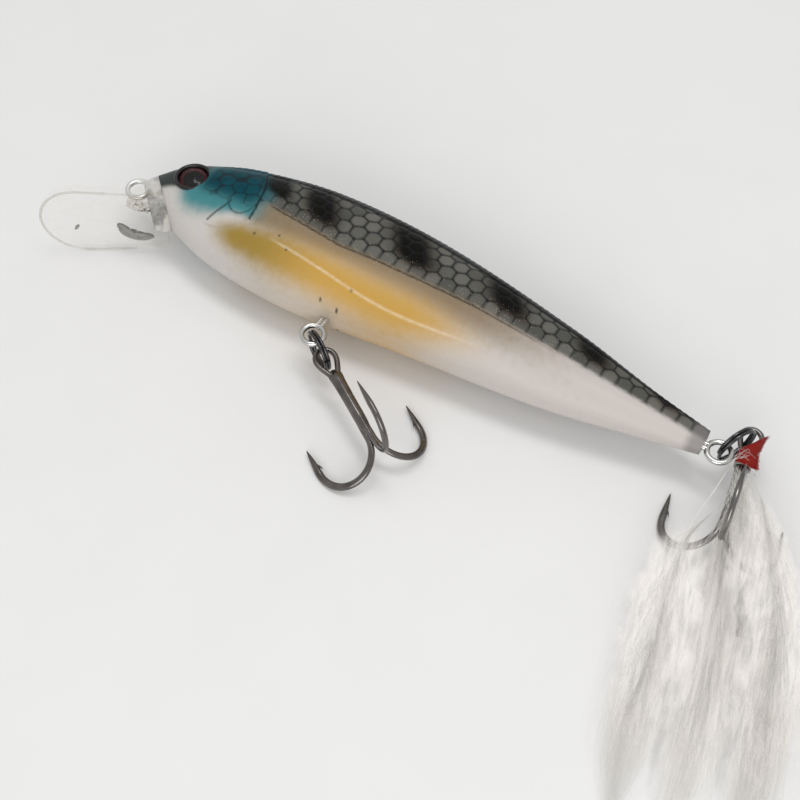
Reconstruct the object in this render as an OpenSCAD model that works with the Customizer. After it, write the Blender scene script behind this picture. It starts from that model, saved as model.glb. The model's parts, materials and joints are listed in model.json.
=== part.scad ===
// Minnow crankbait, lying on its right flank on a table top.
// The lure's own axes before it is laid down: x runs from nose to tail, y from belly to back and
// z from the right flank to the left flank, with the seam of the two body halves at z = 0.

/* [Body] */
// Length of the painted body, without the lip
body_len = 100; // [95:1:105]
// Greatest height of the body, belly to back
body_height = 22.2; // [21.6:0.1:23]
// Greatest width of the body, flank to flank
body_width = 15.5; // [15.2:0.1:16.4]
// Roundness of the cross-section: 2 is an ellipse, more is boxier
section_power = 2.3; // [2.1:0.1:2.5]
// Wall of the moulded shells
wall = 1.3; // [1.1:0.1:1.5]

/* [Lip] */
// Angle of the lip below the body's axis
lip_angle = 29; // [26:1:32]
// Length of the lip from the head's cut face to its tip
lip_len = 20.4; // [17:0.1:22]
// Width of the lip's blade
lip_width = 14.8; // [12:0.1:15]
// Thickness of the lip's blade
lip_thick = 1.6; // [1.2:0.1:1.8]

/* [Wire eyes] */
// Diameter of the hanger and line-tie wire
hanger_wire = 0.9; // [0.8:0.05:0.95]
// Outer diameter of a hanger eye
hanger_eye = 4.5; // [4.4:0.05:4.7]
// Place of the belly hanger along the body, from the nose
belly_hanger_x = 38.7; // [36:0.1:41]

/* [Split rings] */
// Outer diameter of a split ring
ring_outer = 7; // [6.9:0.05:7.1]
// Diameter of a split ring's wire
ring_wire = 0.6; // [0.5:0.02:0.62]

/* [Treble hooks] */
// Diameter of the hook wire
hook_wire = 0.9; // [0.8:0.02:0.92]
// Outer diameter of the hook's eye
hook_eye = 4.2; // [4.1:0.05:4.4]
// Radius from the shank's axis to a point
hook_reach = 10.1; // [9.4:0.1:10.4]
// Eye centre to the start of the bends
hook_shank = 15.2; // [14.4:0.1:16]
// Straight length between bend and tip
hook_point = 4.4; // [3.8:0.1:5]

/* [Lay on the table] */
// Direction of the belly ring and its treble, from the tail direction
belly_dir = -32; // [-36:1:-28]
// Direction of the tail ring
tail_ring_dir = 62; // [58:1:66]
// Direction of the folded-back tail treble
tail_treble_dir = -82; // [-86:1:-79]
// Downward slope of the belly treble's shank
belly_tilt = 4; // [3:0.5:6]
// Downward slope of the tail treble's shank
tail_tilt = 0; // [0:0.5:2]

/* [Feathers] */
// Length of the longest feather from the hook's eye
feather_len = 66; // [58:1:70]
// Greatest width of one feather
feather_width = 11; // [9:0.5:12]

/* [Eyes and weights] */
// Diameter of the moulded fish eyes
eye_diameter = 5.4; // [5:0.1:5.8]
// Diameter of a casting-weight ball
ball_diameter = 5; // [4.6:0.1:5.1]
// Diameter of the belly ballast slug
slug_diameter = 6; // [5:0.1:6.2]

/* [Hidden] */

$fn = 48;
// The lure lies with its widest flank on the table, and its box is centred on the origin
flank = body_width / 2;
place = [-59.2, 22.25, flank];
// Clearance round parts that are glued into the shells
fit = 0.05;

// Body stations: share of the length, then back, belly and half width at the nominal size
stations = [[0.00, 2.5, -2.2, 2.3], [0.03, 5.3, -3.9, 3.9], [0.07, 7.7, -5.6, 5.2], [0.15, 10.4, -8.0, 6.8],
            [0.30, 12.9, -9.3, 7.75], [0.50, 12.3, -7.7, 7.0], [0.75, 8.1, -6.0, 4.8],
            [0.90, 4.4, -3.6, 2.9], [1.00, 2.4, -1.9, 1.6]];
height_scale = body_height / 22.2;
width_scale = body_width / 15.5;
ring_count = 42;
arc_count = 11;

// Head: a flat cut slants from the nose down to the chin, and the lip's root covers it
cut_top = [-0.5, 1.7];
cut_slope = -44;
eye_at = [6.9, 2.1];
lip_root = [5.1, -4.7];

// Wire eyes
eye_ring = (hanger_eye - hanger_wire) / 2;
bore_land = 0.05;
leg_gap = hanger_wire * 0.42;
tie_at = [-2.4, -1.65];
tie_angle = 25;
belly_at = [belly_hanger_x, -12.2];
tail_at = [body_len + 2.5, -0.1];

// Split rings: the ring's wire passes through both eyes this far from their centres
ring_mean = (ring_outer - ring_wire) / 2;
belly_eye_gap = 4.35;
belly_ring_offsets = [-0.5, -0.55];
tail_ring_offsets = [0.6, 0.2];

// Treble hooks: three wires lie side by side along the shank
bundle = hook_wire * 0.59;
bend = (hook_reach - bundle) / 2;
hook_eye_ring = (hook_eye - hook_wire) / 2;

// Inner pieces
ball_line = 1.4;
tunnel = [50, 80.6];
tunnel_clearance = 0.1;
ball_pitch = ball_diameter + 0.06;
slug_at = [26.5, -4.2];
slug_len = 9;
chin_ball = 5;
chin_at = [15.8, -3.6];
pegs = [[20.5, 5.2], [45.2, 6.4], [44.6, -2.6], [87.2, 0.4]];
peg_radius = 1;

// Fish eyes: floor of the recess above the seam, foil disc, and the ball that the dome is cut from
eye_floor = 3.9;
disc_thick = 0.3;
lens_radius = 3.95;

// Side view of the lip's clear root, on the seam plane
root_half = 4.6;
root_top = [3.4, -1.0];
root_front = [-0.1, -4.0];
root_low = [-1.2, -9.0];
root_chin = [8.4, -6.4];

// Ring centre below the line between the two eyes that it joins, for a ring whose wire passes through
// both at the given offsets. Coordinates are [distance along the ring's direction, height].
function ring_centre(gap, drop, offsets) =
    let (a = [offsets[0], 0], b = [gap - offsets[1], -drop], chord = b - a, len2 = chord * chord,
         sink = sqrt(max(0, ring_mean * ring_mean - len2 / 4)), down = [chord[1], -chord[0]] / sqrt(len2))
    (a + b) / 2 + sink * down;
function level(direction) = [cos(direction), sin(direction)];
function flat3(p, z) = [p[0], p[1], z];
// Height of a treble's eye above the table when its two lower bends rest on it
function eye_height(tilt) =
    hook_shank * sin(tilt) + 0.5 * (bundle + bend) * cos(tilt)
    + bend * sqrt(pow(sin(tilt), 2) + 0.25 * pow(cos(tilt), 2)) + hook_wire / 2 + 0.02;

belly_drop = flank - eye_height(belly_tilt);
belly_eye_at = flat3(belly_at + belly_eye_gap * level(belly_dir), -belly_drop);
belly_ring_mid = ring_centre(belly_eye_gap, belly_drop, belly_ring_offsets);
belly_ring_at = flat3(belly_at + belly_ring_mid[0] * level(belly_dir), belly_ring_mid[1]);
tail_drop = flank - eye_height(tail_tilt);
// Drawn out straight, the ring sets the distance between the hanger and the tail treble's eye
tail_eye_gap = sqrt(pow(2 * ring_mean, 2) - pow(tail_drop, 2)) + tail_ring_offsets[0] + tail_ring_offsets[1];
tail_eye_at = flat3(tail_at + tail_eye_gap * level(tail_ring_dir), -tail_drop);
tail_ring_mid = ring_centre(tail_eye_gap, tail_drop, tail_ring_offsets);
tail_ring_at = flat3(tail_at + tail_ring_mid[0] * level(tail_ring_dir), tail_ring_mid[1]);
third_start = hook_eye_ring + 0.6;

// Dressing, along the tail treble's shank from the eye's centre
binding = [2.9, 5.6];
binding_bore = 1.05;
binding_radius = 1.35;
tuft_thick = 0.7;
tuft_outline = [[0.1, 2.0], [2.0, 2.2], [4.4, 1.7], [6.3, 1.9], [6.3, 0.6], [6.8, -0.8], [5.6, -1.35],
                [3.7, -1.2], [2.3, -0.5], [1.3, 0.9]];

// Feather paths: [distance from the eye, sideways, height over the table, half width]
tail_eye_height = eye_height(tail_tilt);
function side_feather(side, share, lift) = [
    [5.9, side * 1.9 + 0.1, tail_eye_height + 0.1, 0.5],
    [10, side * 3.2 + 0.6, tail_eye_height + 0.5 + lift, 1.9],
    [20, side * 6.4 + 1.7, tail_eye_height + 0.6 + lift, 3.7],
    [34, side * 8.4 + 4.2, 3.4, feather_width / 2],
    [50, side * 9.0 + 5.4, 1.2, feather_width / 2.4],
    [feather_len * share, side * 8.6 + 6.2, 0.6, 0.8]];
middle_path = [
    [5.8, 0, tail_eye_height - 2.3, 0.6],
    [10, 0.4, tail_eye_height - 3.0, 1.6],
    [20, 1.4, 1.7, 2.6],
    [34, 4.2, 1.4, feather_width / 2],
    [50, 5.2, 0.9, feather_width / 2.4],
    [feather_len * 0.97, 5.4, 0.6, 0.8]];
// Smooth place on a path, at share u of its stations
function path_value(path, u, c) =
    let (s = u * (len(path) - 1), i = min(floor(s), len(path) - 2), t = s - i,
         a = path[i][c], b = path[i + 1][c],
         ma = i > 0 ? (b - path[i - 1][c]) / 2 : b - a,
         mb = i < len(path) - 2 ? (path[i + 2][c] - a) / 2 : b - a)
    a * (2 * pow(t, 3) - 3 * t * t + 1) + b * (3 * t * t - 2 * pow(t, 3))
    + ma * (pow(t, 3) - 2 * t * t + t) + mb * (pow(t, 3) - t * t);
function feather_ring(path, u) =
    let (x = path_value(path, u, 0), y = path_value(path, u, 1), z = path_value(path, u, 2),
         w = max(0.3, path_value(path, u, 3)), h = 0.35)
    [for (k = [0:9]) let (a = 36 * k) [x, y + w * cos(a), max(0.05, z + h * sin(a))]];

// ---- Curves ----

// Slope of column c at station i, from its neighbours
function slope(i, c) =
    let (a = stations[max(i - 1, 0)], b = stations[min(i + 1, len(stations) - 1)])
    (b[c] - a[c]) / (b[0] - a[0]);
// Smooth value of column c at share u of the length
function along(u, c) =
    let (i = max([for (k = [0:len(stations) - 2]) if (stations[k][0] <= u) k]),
         a = stations[i], b = stations[i + 1], h = b[0] - a[0], t = (u - a[0]) / h)
    a[c] * (2 * pow(t, 3) - 3 * t * t + 1) + b[c] * (3 * t * t - 2 * pow(t, 3))
    + h * slope(i, c) * (pow(t, 3) - 2 * t * t + t) + h * slope(i + 1, c) * (pow(t, 3) - t * t);
// A coordinate of the rounded-box cross-section
function rounded(v) = sign(v) * pow(abs(v), 2 / section_power);
// One cross-section at x, drawn in by inset, from angle a0 to a1 (0 is the back, 90 the left flank)
function section(x, inset, a0, a1, n) =
    let (u = x / body_len, top = along(u, 1) * height_scale - inset, low = along(u, 2) * height_scale + inset,
         half = along(u, 3) * width_scale - inset, mid = (top + low) / 2, tall = (top - low) / 2)
    [for (k = [0:n]) let (a = a0 + (a1 - a0) * k / n) [x, mid + tall * rounded(cos(a)), half * rounded(sin(a))]];
// Ring stations, closer together towards the nose
function spread(k, n, x0, x1) = x0 + (x1 - x0) * pow(k / n, 1.25);

// Closed skin through rings of equal point count, with flat ends
module loft(rings) {
    n = len(rings[0]);
    m = len(rings);
    points = [for (r = rings, p = r) p];
    sides = [for (i = [0:m - 2], k = [0:n - 1])
        let (a = i * n + k, b = i * n + (k + 1) % n) each [[a, b + n, b], [a, a + n, b + n]]];
    first = [for (k = [0:n - 1]) k];
    last = [for (k = [n - 1:-1:0]) (m - 1) * n + k];
    polyhedron(points, concat(sides, [first, last]), convexity = 6);
}

// ---- Body halves ----

module half_solid(side) {
    a0 = side > 0 ? 0 : 180;
    loft([for (k = [0:ring_count]) section(spread(k, ring_count, 0, body_len), 0, a0, a0 + 180, arc_count)]);
}

module cavity() {
    n = 24;
    loft([for (k = [0:n]) section(spread(k, n, 12, 91), wall, 0, 342, 19)]);
}

// Plastic left standing inside the hollow: bulkheads, ball tunnel, hanger boss and peg bosses
module inner_walls() {
    for (x = [tunnel[0] - 1.4, 65, tunnel[1]])
        translate([x, -12, -10]) cube([1.4, 30, 20]);
    for (x = [slug_at[0] - slug_len / 2 - 1.3, slug_at[0] + slug_len / 2 + 0.1])
        translate([x, -12, -10]) cube([1.2, 12, 20]);
    translate([tunnel[0] - 1, ball_line, 0]) rotate([0, 90, 0])
        cylinder(r = ball_diameter / 2 + 1.1, h = tunnel[1] - tunnel[0] + 2);
    translate([belly_at[0] - 3, -12, -10]) cube([6, 8.2, 20]);
    translate([11, -10, -10]) cube([8.2, 9, 20]);
    for (p = pegs)
        translate([p[0], p[1], -10]) cylinder(r = 2.1, h = 20);
}

// Everything in front of the head's slanted cut face
module chin_cut() {
    translate([cut_top[0], cut_top[1], -20]) rotate([0, 0, cut_slope])
        translate([-5, -20, 0]) cube([40, 20, 40]);
}

// Pockets that the glued-in and rolling pieces fill, grown by a clearance
module pockets() {
    lip_tongue(fit);
    hanger_legs(tie_at, tie_angle, 11.5, fit);
    hanger_legs(belly_at, 90, 9.5, fit);
    hanger_legs(tail_at, 180, 9.5, fit);
    translate([tunnel[0], ball_line, 0]) rotate([0, 90, 0])
        cylinder(d = ball_diameter + 2 * tunnel_clearance, h = tunnel[1] - tunnel[0]);
    translate([slug_at[0] - slug_len / 2 - fit, slug_at[1], 0]) rotate([0, 90, 0])
        cylinder(d = slug_diameter + 2 * fit, h = slug_len + 2 * fit);
    translate([chin_at[0], chin_at[1], 0]) sphere(d = chin_ball + 2 * fit);
}

module body_half(side) {
    difference() {
        half_solid(side);
        difference() {
            cavity();
            inner_walls();
        }
        chin_cut();
        pockets();
        translate([eye_at[0], eye_at[1], side > 0 ? eye_floor : -eye_floor - 5])
            cylinder(d = eye_diameter + 2 * fit, h = 5);
        if (side < 0)
            for (p = pegs)
                translate([p[0], p[1], -2.2]) cylinder(r = peg_radius + fit, h = 3);
    }
    if (side > 0)
        for (p = pegs)
            translate([p[0], p[1], -2]) cylinder(r = peg_radius, h = 3);
}

module body_half_left() color([0.62, 0.66, 0.66]) body_half(1);
module body_half_right() color([0.62, 0.66, 0.66]) body_half(-1);

// ---- Diving lip ----

// Outline of the blade from above: straight sides that widen a little, then a round tip
module blade_outline() {
    tip = lip_width / 2;
    root = tip - 0.7;
    straight = lip_len - tip * 0.92;
    polygon(concat([[0, -root], [0, root]],
        [for (a = [90:-7.5:-90]) [straight + tip * 0.92 * cos(a), tip * sin(a)]]));
}

// The blade's frame: x runs from the cut face out to the tip, z is the blade's thickness
module in_lip_frame() {
    translate([lip_root[0], lip_root[1], 0]) rotate([0, 0, 180 + lip_angle]) rotate([-90, 0, 0]) children();
}

module lip_tongue(grow) {
    in_lip_frame() translate([-3.6 - grow, -3 - grow, -0.7 - grow]) cube([4.6 + grow, 6 + 2 * grow, 1.4 + 2 * grow]);
}

// Thick clear root that covers the cut face from the snout to the chin
module lip_root_block() {
    translate([0, 0, -root_half]) linear_extrude(2 * root_half)
        polygon([root_top, root_front, root_low, root_chin]);
}

module diving_lip() color([0.88, 0.9, 0.88, 0.35]) {
    difference() {
        union() {
            in_lip_frame() translate([0, 0, -lip_thick / 2]) linear_extrude(lip_thick) blade_outline();
            lip_root_block();
        }
        translate([cut_top[0], cut_top[1], -20]) rotate([0, 0, cut_slope])
            translate([-5, -0.03, 0]) cube([40, 40, 40]);
    }
    intersection() {
        lip_tongue(0);
        translate([cut_top[0], cut_top[1], -20]) rotate([0, 0, cut_slope])
            translate([-5, -0.03, 0]) cube([40, 40, 40]);
    }
}

// ---- Wire eyes: an eye and two legs, bent from one wire ----

module hanger_legs(at, angle, reach, grow) {
    for (s = [-1, 1])
        translate([at[0], at[1], 0]) rotate([0, 0, angle]) translate([eye_ring, s * leg_gap, 0]) rotate([0, 90, 0])
            cylinder(d = hanger_wire + 2 * grow, h = reach - eye_ring + grow);
}

module wire_eye(at, angle, reach) {
    difference() {
        union() {
            translate([at[0], at[1], 0]) rotate_extrude() translate([eye_ring, 0]) circle(d = hanger_wire);
            hanger_legs(at, angle, reach, 0);
        }
        translate([at[0], at[1], -3]) cylinder(r = eye_ring - hanger_wire / 2 + bore_land, h = 6);
    }
}

module line_tie() color([0.75, 0.75, 0.74]) wire_eye(tie_at, tie_angle, 11.5);
module belly_hanger() color([0.75, 0.75, 0.74]) wire_eye(belly_at, 90, 9.5);
module tail_hanger() color([0.75, 0.75, 0.74]) wire_eye(tail_at, 180, 9.5);

// ---- Fish eyes ----

module eye_disc(side) {
    translate([eye_at[0], eye_at[1], side > 0 ? eye_floor : -eye_floor - disc_thick])
        cylinder(d = eye_diameter, h = disc_thick);
}

// Domed clear cover, a slice of a ball that stands proud of the head
module eye_lens(side) {
    intersection() {
        translate([eye_at[0], eye_at[1], side * (eye_floor + disc_thick - 2.9)]) sphere(d = 2 * lens_radius);
        translate([eye_at[0], eye_at[1], side > 0 ? eye_floor + disc_thick : -eye_floor - disc_thick - 3])
            cylinder(d = eye_diameter, h = 3);
    }
}

module left_eye_disc() color([0.35, 0.03, 0.05]) eye_disc(1);
module left_eye_lens() color([0.2, 0.05, 0.06, 0.4]) eye_lens(1);
module right_eye_disc() color([0.35, 0.03, 0.05]) eye_disc(-1);
module right_eye_lens() color([0.2, 0.05, 0.06, 0.4]) eye_lens(-1);

// ---- Split rings: two turns of wire lying side by side ----

// Puts children in a frame at a point, with x along a level direction and y straight up
module in_ring_frame(at, direction) {
    translate(at) rotate([0, 0, direction]) rotate([90, 0, 0]) children();
}

module split_ring(at, direction) {
    in_ring_frame(at, direction) rotate_extrude()
        for (s = [-1, 1])
            translate([ring_mean, s * ring_wire * 0.45]) circle(d = ring_wire);
}

module belly_split_ring() color([0.12, 0.12, 0.13]) split_ring(belly_ring_at, belly_dir);
module tail_split_ring() color([0.12, 0.12, 0.13]) split_ring(tail_ring_at, tail_ring_dir);

// ---- Treble hooks ----

// One wire: shank, round bend, point leg, tip and barb. It bends away from the shank along +Y.
module hook_wire_path() {
    translate([hook_eye_ring, bundle, 0]) rotate([0, 90, 0]) cylinder(d = hook_wire, h = hook_shank - hook_eye_ring);
    translate([hook_shank, bundle + bend, 0]) rotate([0, 0, -90]) rotate_extrude(angle = 180)
        translate([bend, 0]) circle(d = hook_wire);
    translate([hook_shank, bundle + 2 * bend, 0]) rotate([0, -90, 0]) {
        cylinder(d = hook_wire, h = 0.4);
        translate([0, 0, 0.4]) cylinder(d1 = hook_wire, d2 = 0.12, h = hook_point - 0.4);
    }
    translate([hook_shank - 0.5, bundle + 2 * bend - hook_wire * 0.3, 0]) rotate([0, -90, 0]) rotate([-28, 0, 0])
        cylinder(d1 = 0.4, d2 = 0.08, h = 1.3);
}

// Places a treble: eye centre, level direction and downward slope of the shank
module in_treble_frame(at, direction, tilt) {
    translate(at) rotate([0, tilt, direction]) children();
}

module treble_double() {
    difference() {
        rotate_extrude() translate([hook_eye_ring, 0]) circle(d = hook_wire);
        translate([0, 0, -3]) cylinder(r = hook_eye_ring - hook_wire / 2 + bore_land, h = 6);
    }
    for (a = [-30, 210])
        rotate([a, 0, 0]) hook_wire_path();
}

module belly_treble_double() color([0.3, 0.3, 0.31]) in_treble_frame(belly_eye_at, belly_dir, belly_tilt)
    treble_double();
module belly_treble_third() color([0.3, 0.3, 0.31]) in_treble_frame(belly_eye_at, belly_dir, belly_tilt)
    third_wire();
module tail_treble_double() color([0.42, 0.42, 0.42]) in_treble_frame(tail_eye_at, tail_treble_dir, tail_tilt)
    treble_double();
module tail_treble_third() color([0.42, 0.42, 0.42]) in_treble_frame(tail_eye_at, tail_treble_dir, tail_tilt)
    third_wire();

// The third hook's wire starts behind the eye, where it is brazed onto the other two
module third_wire() {
    intersection() {
        rotate([90, 0, 0]) hook_wire_path();
        translate([third_start, -2, -3]) cube([30, 4, 20]);
    }
}

// ---- Dressing on the tail treble ----

module thread_binding() color([0.85, 0.8, 0.76]) in_treble_frame(tail_eye_at, tail_treble_dir, tail_tilt)
    translate([binding[0], 0, 0]) rotate([0, 90, 0]) difference() {
        cylinder(r = binding_radius, h = binding[1] - binding[0]);
        translate([0, 0, -1]) cylinder(r = binding_bore, h = 20);
    }

// Frayed fan of red floss over the binding, on the side away from the lure's body
module red_tuft() color([0.72, 0.06, 0.05]) in_treble_frame(tail_eye_at, tail_treble_dir, tail_tilt)
    translate([0, 0, binding_radius + 0.1]) linear_extrude(tuft_thick)
        polygon(tuft_outline);

// A leaf-shaped blade along a path of [distance, sideways, height, half width] stations
module feather(path) {
    n = 26;
    translate([tail_eye_at[0], tail_eye_at[1], -flank]) rotate([0, 0, tail_treble_dir])
        loft([for (k = [0:n]) feather_ring(path, k / n)]);
}

module feather_left() color([0.95, 0.93, 0.9]) feather(side_feather(-1, 0.93, 0));
module feather_middle() color([0.95, 0.93, 0.9]) feather(middle_path);
module feather_right() color([0.95, 0.93, 0.9]) feather(side_feather(1, 1, 0.6));

// ---- Weights ----

module chin_ballast() color([0.5, 0.5, 0.52]) translate([chin_at[0], chin_at[1], 0]) sphere(d = chin_ball);
module belly_ballast() color([0.5, 0.5, 0.52]) translate([slug_at[0] - slug_len / 2, slug_at[1], 0])
    rotate([0, 90, 0]) cylinder(d = slug_diameter, h = slug_len);
module casting_ball(i) {
    translate([tunnel[1] - 0.05 - ball_diameter / 2 - i * ball_pitch, ball_line, 0]) sphere(d = ball_diameter);
}
module casting_ball_front() color([0.6, 0.6, 0.62]) casting_ball(2);
module casting_ball_middle() color([0.6, 0.6, 0.62]) casting_ball(1);
module casting_ball_rear() color([0.6, 0.6, 0.62]) casting_ball(0);

translate(place) body_half_left();
translate(place) body_half_right();
translate(place) diving_lip();
translate(place) line_tie();
translate(place) belly_hanger();
translate(place) tail_hanger();
translate(place) left_eye_disc();
translate(place) left_eye_lens();
translate(place) right_eye_disc();
translate(place) right_eye_lens();
translate(place) belly_split_ring();
translate(place) belly_treble_double();
translate(place) belly_treble_third();
translate(place) tail_split_ring();
translate(place) tail_treble_double();
translate(place) tail_treble_third();
translate(place) thread_binding();
translate(place) red_tuft();
translate(place) feather_left();
translate(place) feather_middle();
translate(place) feather_right();
translate(place) chin_ballast();
translate(place) belly_ballast();
translate(place) casting_ball_front();
translate(place) casting_ball_middle();
translate(place) casting_ball_rear();
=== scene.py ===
"""Minnow crankbait on a pale table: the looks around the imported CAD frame."""
import json
import random
from math import cos, hypot, pi, radians, sin, sqrt

import bmesh
import bpy
import numpy as np
from mathutils import Matrix, Vector


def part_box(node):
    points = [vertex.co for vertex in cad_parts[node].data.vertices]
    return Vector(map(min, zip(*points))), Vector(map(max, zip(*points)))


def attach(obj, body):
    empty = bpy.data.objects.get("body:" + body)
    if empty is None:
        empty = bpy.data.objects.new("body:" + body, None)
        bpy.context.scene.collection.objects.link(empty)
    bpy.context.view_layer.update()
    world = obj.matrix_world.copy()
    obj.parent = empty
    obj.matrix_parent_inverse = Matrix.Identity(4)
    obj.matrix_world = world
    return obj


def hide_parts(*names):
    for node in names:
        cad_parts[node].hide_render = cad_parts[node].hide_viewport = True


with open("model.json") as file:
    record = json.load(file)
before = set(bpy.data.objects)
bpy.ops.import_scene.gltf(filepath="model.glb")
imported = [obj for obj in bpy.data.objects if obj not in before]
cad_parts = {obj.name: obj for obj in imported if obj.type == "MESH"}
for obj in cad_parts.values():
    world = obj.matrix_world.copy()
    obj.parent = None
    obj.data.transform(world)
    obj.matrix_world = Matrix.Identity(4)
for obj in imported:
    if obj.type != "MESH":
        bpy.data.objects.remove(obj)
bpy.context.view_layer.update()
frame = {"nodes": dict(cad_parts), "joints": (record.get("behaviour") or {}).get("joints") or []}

MM = 0.001

# ---- Sizes of the CAD model, in millimetres, in the lure's own axes ----
# x runs from nose to tail, y from belly to back and z from the right flank to the left flank, with
# the seam at z = 0.

BODY_LEN = 100
SECTION_POWER = 2.3
# Share of the length, back, belly and half width
STATIONS = np.array([
    [0.00, 2.5, -2.2, 2.3], [0.03, 5.3, -3.9, 3.9], [0.07, 7.7, -5.6, 5.2], [0.15, 10.4, -8.0, 6.8],
    [0.30, 12.9, -9.3, 7.75], [0.50, 12.3, -7.7, 7.0], [0.75, 8.1, -6.0, 4.8],
    [0.90, 4.4, -3.6, 2.9], [1.00, 2.4, -1.9, 1.6]])
CUT_TOP = (-0.5, 1.7)
CUT_SLOPE = radians(-44)
EYE_AT = (6.9, 2.1)
EYE_FLOOR = 3.9
EYE_RADIUS = 2.7
BELLY_AT = (38.7, -12.2)
TAIL_AT = (102.5, -0.1)
LIP_ROOT = (5.1, -4.7)
LIP_ANGLE = radians(29)
LIP_LEN = 20.4
LIP_WIDTH = 14.8
# Away from the blade on the side that faces the table and the camera
BLADE_NORMAL = (0.485, -0.875, 0)
EYE_RIM_RADIUS = 2.86
EYE_RIM_LEVEL = 4.75
RING_MEAN = 3.2
RING_WIRE = 0.6
HOOK_WIRE = 0.9
HOOK_EYE_RING = 1.65
HOOK_REACH = 10.1
HOOK_SHANK = 15.2
HOOK_POINT = 4.4
BUNDLE = HOOK_WIRE * 0.59
BEND = (HOOK_REACH - BUNDLE) / 2
FEATHER_LEN = 66
FEATHER_WIDTH = 11
FLOSS_FIBRES = 620
STRAY_FIBRES = 9
VEIL_FIBRES = 330
THREAD_TURNS = 11

joint_at = {j["name"]: Vector(j.get("pos_m") or (0, 0, 0)) for j in frame["joints"]}
place = joint_at["belly_ring_swing"] / MM - Vector((BELLY_AT[0], BELLY_AT[1], 0))
flank = place.z


def row(x, y, z):
    """A point of the lure's own axes, in the row frame, in millimetres."""
    return place + Vector((x, y, z))


def rows(points):
    """Many points of the lure's own axes, in the row frame, in millimetres."""
    return [tuple(row(*q)) for q in points]


# ---- Mesh helpers ----

def mesh_object(name, points, faces):
    """A mesh object from points in row millimetres."""
    mesh = bpy.data.meshes.new(name)
    mesh.from_pydata([tuple(c * MM for c in p) for p in points], [], faces)
    thing = bpy.data.objects.new(name, mesh)
    bpy.context.scene.collection.objects.link(thing)
    return thing


def new_piece(name, points, faces, body, material):
    """A smooth piece that rides on a body."""
    piece = mesh_object(name, points, faces)
    piece.data.validate()
    piece.data.update()
    piece.data.shade_smooth()
    piece.data.materials.append(material)
    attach(piece, body)
    return piece


def turns(count):
    """Angles of one whole turn in equal steps."""
    return [2 * pi * k / count for k in range(count)]


def smooth_path(points, steps):
    """Points along a Catmull-Rom curve through the given points; each may hold more than x, y, z."""
    p = np.array(points, float)
    p = np.vstack([2 * p[0] - p[1], p, 2 * p[-1] - p[-2]])
    out = []
    for i in range(1, len(p) - 2):
        for k in range(steps):
            t = k / steps
            out.append(0.5 * (2 * p[i] + (p[i + 1] - p[i - 1]) * t
                              + (2 * p[i - 1] - 5 * p[i] + 4 * p[i + 1] - p[i + 2]) * t ** 2
                              + (3 * p[i] - p[i - 1] - 3 * p[i + 1] + p[i + 2]) * t ** 3))
    out.append(p[-2])
    return np.array(out)


class Skin:
    """Collects closed tubes and lofts as one mesh."""

    def __init__(self):
        self.points = []
        self.faces = []

    def loft(self, rings, closed=False):
        """Joins rings of equal point count; the ends are capped unless the loft closes on itself."""
        start, n, m = len(self.points), len(rings[0]), len(rings)
        for r in rings:
            self.points.extend(r)
        for i in range(m if closed else m - 1):
            a, b = start + i * n, start + (i + 1) % m * n
            for k in range(n):
                j = (k + 1) % n
                self.faces.append((a + k, a + j, b + j, b + k))
        if not closed:
            self.faces.append(tuple(start + k for k in reversed(range(n))))
            self.faces.append(tuple(start + (m - 1) * n + k for k in range(n)))

    def tube(self, path, radii, sides=12, up=(0, 0, 1), flat=1.0, closed=False):
        """A tube along a path. flat scales it across the direction nearest to up."""
        path = np.array(path, float)
        radii = np.broadcast_to(radii, len(path))
        ahead = np.roll(path, -1, 0) - np.roll(path, 1, 0)
        if not closed:
            ahead[0], ahead[-1] = path[1] - path[0], path[-1] - path[-2]
        ahead /= np.linalg.norm(ahead, axis=1)[:, None]
        side = np.cross(ahead, np.array(up, float))
        side /= np.linalg.norm(side, axis=1)[:, None]
        top = np.cross(side, ahead)
        turn = np.linspace(0, 2 * pi, sides, endpoint=False)
        rings = [[tuple(c + r * (cos(t) * s + flat * sin(t) * u)) for t in turn]
                 for c, r, s, u in zip(path, radii, side, top)]
        self.loft(rings, closed)

    def piece(self, name, body, slot, material, matrix=None):
        """The skin as a piece, moved to row millimetres by the matrix if its axes are a hook's own."""
        points = self.points if matrix is None else [tuple(matrix @ Vector(p)) for p in self.points]
        return new_piece(name, points, self.faces, body, material)


def store(piece, name, values, top=1.0):
    """Keeps a value per point for the materials: a paint mask, or "soft", from 0 at an edge to 1."""
    layer = piece.data.attributes.new(name, "FLOAT", "POINT")
    layer.data.foreach_set("value", np.clip(np.array(values, float), 0, top).astype(np.float32))


# ---- Materials ----

def tint(red, green, blue):
    """Linear colour of a tone given as it looks on a screen, 0 to 255."""
    shares = (red / 255, green / 255, blue / 255)
    return tuple(c / 12.92 if c < 0.039 else ((c + 0.055) / 1.055) ** 2.4 for c in shares)


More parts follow.
